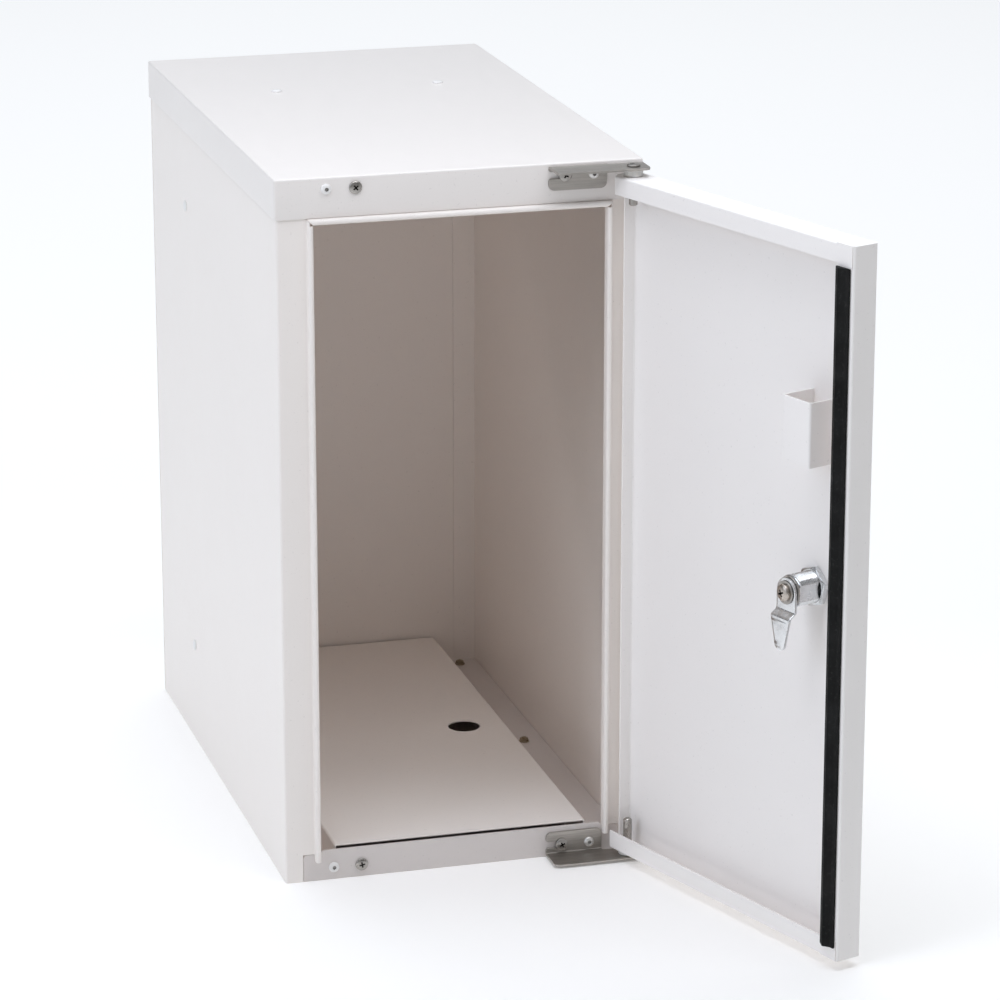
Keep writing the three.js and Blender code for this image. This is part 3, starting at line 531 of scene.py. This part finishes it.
BOLT_TOP = 2.6
BOLT_ACROSS, BOLT_HEX_LOW = 5.5, 0.5
BOLT_FLANGE = [(0, SEAT), (3.9, SEAT), (4, SEAT + 0.1), (4, 0.35), (3.7, 0.6), (0, 0.6)]
STUD_R, STUD_TIP_R, STUD_FOOT, STUD_SHOULDER, STUD_TOP = 1.7, 1.4, 1, 0.35, 0.6
BOLT_STUD = [(0, STUD_FOOT), (STUD_R, STUD_FOOT), (STUD_R, BOLT_TOP + STUD_SHOULDER)]
BOLT_STUD += [(STUD_TIP_R, BOLT_TOP + STUD_TOP), (0, BOLT_TOP + STUD_TOP)]
# Each bolt stopped at its own angle.
BOLT_TURN = 17

for index, node in enumerate(sorted(n for n in SLOT_OF if n.startswith("floor_bolt_"))):
    seat = middle(node)
    seat.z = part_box(node)[1].z - BOLT_TOP * MM
    flange = lathe("flange", BOLT_FLANGE, steps=48)
    nut = chamfered_hex("nut", BOLT_ACROSS, BOLT_HEX_LOW, BOLT_TOP)
    stud = lathe("stud", BOLT_STUD, steps=32)
    mesh = join(node + "_head", [flange, nut, stud])
    add_piece(node + "_head", mesh, node, facing(seat, UPWARD, BOLT_TURN * index))

PLUG_TOP = 0.9
PLUG_PROFILE = [(0, SEAT), (3.8, SEAT), (4, SEAT + 0.2)]
PLUG_PROFILE += [(3.9, 0.3), (3.4, 0.75), (2.2, PLUG_TOP), (0, 0.82)]

for node, direction in (
    ("side_plug_1", LEFTWARD),
    ("side_plug_2", LEFTWARD),
    ("top_plug_1", UPWARD),
    ("top_plug_2", UPWARD),
):
    lo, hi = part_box(node)
    at = middle(node)
    if direction is LEFTWARD:
        at.x = lo.x + PLUG_TOP * MM
    else:
        at.z = hi.z - PLUG_TOP * MM
    add_piece(node + "_cap", lathe(node + "_cap", PLUG_PROFILE, steps=48), node, facing(at, direction))

# ---------------------------------------------------------------- cap

CAP_SHEET, CAP_BEND, CAP_CORNER = 1.0, 1.35, 1.5
CAP_LEAST_CORNER = 0.15
# The flange's lower edge, eased on the outside: (inset, height) above its foot.
CAP_HEM = [(0.25, 0), (0.06, 0.1), (0, 0.3)]
CAP_FOOT = CAP_SHEET * 0.8
CAP_INNER_RISE = 0.2


def rounded_ring(half_x, half_y, radius, z, steps=7):
    """Points round a rectangle with rounded corners, at one height, in millimetres."""
    ring = []
    for corner, (sx, sy) in enumerate(((1, 1), (-1, 1), (-1, -1), (1, -1))):
        centre = (sx * (half_x - radius), sy * (half_y - radius))
        ring += [(x, y, z) for x, y in arc(centre, radius, 90 * corner, 90 * corner + 90, steps)]
    return ring


def folded_cap(name, lo, hi):
    """A sheet lid with rolled top edges: rings climb the outside and come back down the inside."""
    half_x, half_y = (hi.x - lo.x) / 2 / MM, (hi.y - lo.y) / 2 / MM
    low, top = lo.z / MM, hi.z / MM
    shoulder = top - CAP_BEND
    inner_bend = CAP_BEND - CAP_SHEET
    outside = [(CAP_FOOT, low), *((inset, low + rise) for inset, rise in CAP_HEM), (0, shoulder)]
    outside += [(CAP_BEND - x, z) for x, z in arc((0, shoulder), CAP_BEND, 0, 90, 8)][1:]
    inside = [(CAP_BEND - x, z) for x, z in arc((0, shoulder), inner_bend, 90, 0, 6)]
    inside += [(CAP_SHEET, low + CAP_INNER_RISE), (CAP_FOOT, low)]
    vertices, faces, count = [], [], 0
    for part in (outside, inside):
        for inset, z in part:
            corner = max(CAP_CORNER - inset, CAP_LEAST_CORNER)
            ring = rounded_ring(half_x - inset, half_y - inset, corner, z)
            count = len(ring)
            vertices += ring
    first_inside = len(outside)
    rows = len(outside) + len(inside)
    for row in range(rows - 1):
        if row == first_inside - 1:
            continue
        for k in range(count):
            a, b = row * count + k, row * count + (k + 1) % count
            faces.append((a, b, b + count, a + count))
    last = (first_inside - 1) * count
    faces.append(tuple(last + k for k in range(count)))
    faces.append(tuple(last + count + k for k in reversed(range(count))))
    centre = (lo + hi) / 2
    spread = [(x * MM + centre.x, y * MM + centre.y, z * MM) for x, y, z in vertices]
    return mesh_of(name, spread, faces)


add_piece("folded_cap", folded_cap("folded_cap", *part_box("top_cap")), "top_cap", smooth=40)

# ---------------------------------------------------------------- door frame: x along the door, y outwards

HINGE = next(j for j in frame["joints"] if j["name"] == "door_hinge")
OPENED = -HINGE["range_deg"][0]
# Where the hinge pin stands in the door's own frame.
PIN_IN_DOOR = Vector((10.5, 10, 0)) * MM
DOOR_TO_ROW = (
    Matrix.Translation((HINGE["pos_m"][0], HINGE["pos_m"][1], 0))
    @ Matrix.Rotation(math.radians(180 + OPENED), 4, "Z")
    @ Matrix.Translation(-PIN_IN_DOOR)
)


def in_door(x, y, z, direction, turn=0.0):
    """Placement for a part drawn along +Z, at a point and direction in the door's frame, in millimetres."""
    return DOOR_TO_ROW @ facing(Vector((x, y, z)) * MM, direction, turn)


# ---------------------------------------------------------------- lock

LOCK_X, LOCK_Z = 201, 251
DOOR_SKIN = 18.8
BARREL_R, BARREL_FLAT, BARREL_END, BARREL_BORE = 11, 9.2, -2.4, 7.3
BARREL_STEPS = 120
# The end of the barrel: its chamfer, the bore's edge and the plain length before the thread.
END_CHAMFER = (0.6, 0.4)
BORE_EDGE = 0.3
BARREL_PLAIN = 1.6
THREAD_PITCH, THREAD_DEPTH, THREAD_ROWS, THREAD_STOP = 1.0, 0.42, 8, 1
# The bezel outside the door, as (radius, height) over its seat.
BEZEL_SEAT = 20.3
BEZEL = [(13.3, 0), (13.5, 0.4), (13.2, 1.3), (12.3, 2), (8.6, 2.1), (8.2, 1.8), (BARREL_BORE, 1.7)]
FLAT_MARGIN = 0.01
NUT_ACROSS, NUT_THICK, NUT_BORE, NUT_TURN = 25, 4.5, 11.1, 12
INWARD = Vector((0, -1, 0))
OUTWARD = Vector((0, 1, 0))


def threaded_barrel(name):
    """The lock's barrel: a fine thread cut by two flats, a plain end and the bezel outside the door."""
    start, end = BARREL_END, BEZEL_SEAT
    threaded_from = start + BARREL_PLAIN
    turns = (end - threaded_from - THREAD_STOP) / THREAD_PITCH
    chamfer_in, chamfer_up = END_CHAMFER
    heights = [start + chamfer_up]
    heights += [threaded_from + i * THREAD_PITCH / THREAD_ROWS for i in range(int(turns * THREAD_ROWS))]
    vertices, faces = [], []
    for k in range(BARREL_STEPS):
        angle = 2 * math.pi * k / BARREL_STEPS
        ring = [(BARREL_BORE, start + BORE_EDGE), (BARREL_R - chamfer_in, start)]
        for h in heights:
            r = BARREL_R
            if h > threaded_from - FLAT_MARGIN:
                phase = ((h - start) / THREAD_PITCH - k / BARREL_STEPS) % 1.0
                r -= THREAD_DEPTH * abs(2 * phase - 1)
            ring.append((r, h))
        ring += [(BARREL_R, end), *((r, end + rise) for r, rise in BEZEL)]
        for r, h in ring:
            x, z = r * math.cos(angle), r * math.sin(angle)
            if h < end - FLAT_MARGIN:
                x = max(-BARREL_FLAT, min(BARREL_FLAT, x))
            vertices.append((x * MM, z * MM, h * MM))
    n = len(ring)
    for k in range(BARREL_STEPS):
        a, b = k * n, ((k + 1) % BARREL_STEPS) * n
        for i in range(n):
            j = (i + 1) % n
            faces.append((a + i, b + i, b + j, a + j))
    return mesh_of(name, vertices, faces)


lock_at = in_door(LOCK_X, 0, LOCK_Z, OUTWARD)
add_piece("lock_barrel", threaded_barrel("lock_barrel"), "lock_housing", lock_at, smooth=28)
nut_mesh = chamfered_hex("lock_hex_nut", NUT_ACROSS, DOOR_SKIN - NUT_THICK, DOOR_SKIN, NUT_BORE)
add_piece("lock_hex_nut", nut_mesh, "lock_nut", in_door(LOCK_X, 0, LOCK_Z, OUTWARD, NUT_TURN))

# The cam hangs down the door at rest; a drop is a distance below the lock's axis.
CAM_SHEET, CAM_EYE_R, CAM_LENGTH, CAM_OFFSET = 2, 9.5, 39, 4.8
CAM_CRANK, CAM_TIP_HALF = (12, 16.8), 5.4
CAM_NEAR = -6.4
CAM_ROW = 0.5
CAM_ROUND_DEGREES = 6
LEAST_HALF_SQUARED = 0.01
# The sheet's rolled edge, as (share of the half width, height lost).
CAM_EDGE = [(1, 0.3), (0.985, 0.08), (0.95, 0)]
# A field pressed into the blade leaves a rim round it: depth, rim, and drops where it starts and ends.
EMBOSS, EMBOSS_EDGE, EMBOSS_MOST, EMBOSS_SLOPE, EMBOSS_MIDDLE = 0.35, 1.7, 0.7, 1.25, 0.2
EMBOSS_START = (18.2, 19.2)
EMBOSS_END = (CAM_LENGTH - 2.6, CAM_LENGTH - 1.8)


def eased(value, start, end):
    """0 before start, 1 after end and a smooth S between."""
    share = min(max((value - start) / (end - start), 0), 1)
    return share * share * (3 - 2 * share)


def pressed_cam(name):
    """The cam in the door's frame: a round eye, a rolled crank and a tapering blade with a pressed rim."""
    tip_at = CAM_LENGTH - CAM_TIP_HALF
    crank_end = CAM_CRANK[1]
    drops = [CAM_EYE_R * math.sin(math.radians(a)) for a in range(-90, 0, CAM_ROUND_DEGREES)]
    drops += [i * CAM_ROW for i in range(int(tip_at / CAM_ROW))]
    drops += [tip_at + CAM_TIP_HALF * math.sin(math.radians(a)) for a in range(0, 91, CAM_ROUND_DEGREES)]
    vertices, faces = [], []
    for drop in drops:
        if drop < 0:
            half = math.sqrt(max(CAM_EYE_R**2 - drop**2, LEAST_HALF_SQUARED))
        elif drop < tip_at:
            along = max(drop - crank_end, 0) / (tip_at - crank_end)
            half = CAM_EYE_R + (CAM_TIP_HALF - CAM_EYE_R) * along
        else:
            half = math.sqrt(max(CAM_TIP_HALF**2 - (drop - tip_at) ** 2, LEAST_HALF_SQUARED))
        near = CAM_NEAR - CAM_OFFSET * eased(drop, *CAM_CRANK)
        rim = min(EMBOSS_EDGE / half, EMBOSS_MOST)
        raised = -EMBOSS * eased(drop, *EMBOSS_START) * (1 - eased(drop, *EMBOSS_END))
        side = [*CAM_EDGE, (1 - rim, 0), (1 - rim * EMBOSS_SLOPE, raised), (EMBOSS_MIDDLE, raised)]
        across = [(-share, lift) for share, lift in side] + list(reversed(side))
        for share, lift in across:
            vertices.append((LOCK_X + share * half, near + lift, LOCK_Z - drop))
        for share, lift in reversed(across):
            vertices.append((LOCK_X + share * half, near + CAM_SHEET - max(lift, 0), LOCK_Z - drop))
    rows = len(drops)
    count = len(vertices) // rows
    for row in range(rows - 1):
        for k in range(count):
            a, b = row * count + k, row * count + (k + 1) % count
            faces.append((a, b, b + count, a + count))
    faces.append(tuple(range(count)))
    faces.append(tuple(reversed(range((rows - 1) * count, rows * count))))
    return mesh_of(name, [(x * MM, y * MM, z * MM) for x, y, z in vertices], faces)


add_piece("pressed_cam", pressed_cam("pressed_cam"), "lock_cam", DOOR_TO_ROW, smooth=40)

SCREW_SEAT, SCREW_TURN = -7.8, 24
cam_screw_mesh = pan_screw("cam_screw_head", radius=6, height=3.1, reach=3.0, width=0.7)
cam_screw_at = in_door(LOCK_X, SCREW_SEAT, LOCK_Z, INWARD, SCREW_TURN)
add_piece("cam_screw_head", cam_screw_mesh, "cam_screw", cam_screw_at, smooth=40)

# ---------------------------------------------------------------- camera, floor and light

SENSOR = 36
# Focal length in picture widths, then where the camera stands and looks, in metres.
FOCAL = 4.274
EYE = Vector((-0.73368, -2.91092, 1.12200))
AIM = Vector((0.25963, 0.92055, -0.29184))

camera = bpy.data.objects.new("camera", bpy.data.cameras.new("camera"))
bpy.context.collection.objects.link(camera)
camera.location = EYE
camera.rotation_mode = "QUATERNION"
camera.rotation_quaternion = AIM.to_track_quat("-Z", "Y")
camera.data.sensor_width = SENSOR
camera.data.lens = SENSOR * FOCAL
camera.data.clip_start = 0.1
camera.data.clip_end = 200
bpy.context.scene.camera = camera

FLOOR = 40
FLOOR_BELOW = 0.0001
FLOOR_GLOW = (1.0, 0.98, 0.95, 1)
floor_mesh = bpy.data.meshes.new("floor")
floor_mesh.from_pydata(
    [(-FLOOR, -FLOOR, 0), (FLOOR, -FLOOR, 0), (FLOOR, FLOOR, 0), (-FLOOR, FLOOR, 0)], [], [(0, 1, 2, 3)]
)
floor = bpy.data.objects.new("floor", floor_mesh)
floor.location.z = start_bounds[0].z - FLOOR_BELOW
bpy.context.collection.objects.link(floor)
floor_look = Shader("studio_floor", (0.97, 0.965, 0.955), roughness=0.9)
floor_look.bsdf.inputs["Specular IOR Level"].default_value = 0.1
floor_look.bsdf.inputs["Emission Color"].default_value = FLOOR_GLOW
floor_look.bsdf.inputs["Emission Strength"].default_value = 0.11
floor_mesh.materials.append(floor_look.material)


def area_light(name, where, aim, size, power, color):
    """A rectangular light in metres and watts that the camera doesn't see."""
    data = bpy.data.lights.new(name, "AREA")
    data.shape = "RECTANGLE"
    data.size, data.size_y = size
    data.energy = power
    data.color = color
    light = bpy.data.objects.new(name, data)
    bpy.context.collection.objects.link(light)
    light.location = where
    light.rotation_mode = "QUATERNION"
    light.rotation_quaternion = (Vector(aim) - Vector(where)).to_track_quat("-Z", "Y")
    light.visible_camera = False


# Name, place, aim, size, power and colour.
area_light("key_left", (-3.0, -0.85, 1.7), (0, -0.1, 0.25), (2.0, 2.0), 23.2, (0.92, 1.0, 1.16))
area_light("top_back", (0.6, 2.5, 4.2), (0.6, 2.4, 0), (6.0, 5.4), 152, (0.96, 1.0, 1.06))
area_light("top_front", (-0.1, -0.75, 3.0), (0, -0.2, 0.1), (2.4, 0.6), 18, (0.95, 1.0, 1.08))
area_light("front_high", (0.0, -0.6, 1.05), (0, -0.2, 0.42), (1.0, 0.2), 2.1, (1.0, 1.0, 1.05))

world = bpy.data.worlds.new("studio")
bpy.context.scene.world = world
world.use_nodes = True
backdrop = next(n for n in world.node_tree.nodes if n.type == "BACKGROUND")
backdrop.inputs["Color"].default_value = (0.985, 1.0, 1.015, 1)
backdrop.inputs["Strength"].default_value = 0.275

scene = bpy.context.scene
scene.view_settings.view_transform = "Standard"
scene.view_settings.look = "None"
# The cabinet's inside is lit by many bounces off pale paint.
BOUNCES = 16
scene.cycles.max_bounces = BOUNCES
scene.cycles.diffuse_bounces = BOUNCES
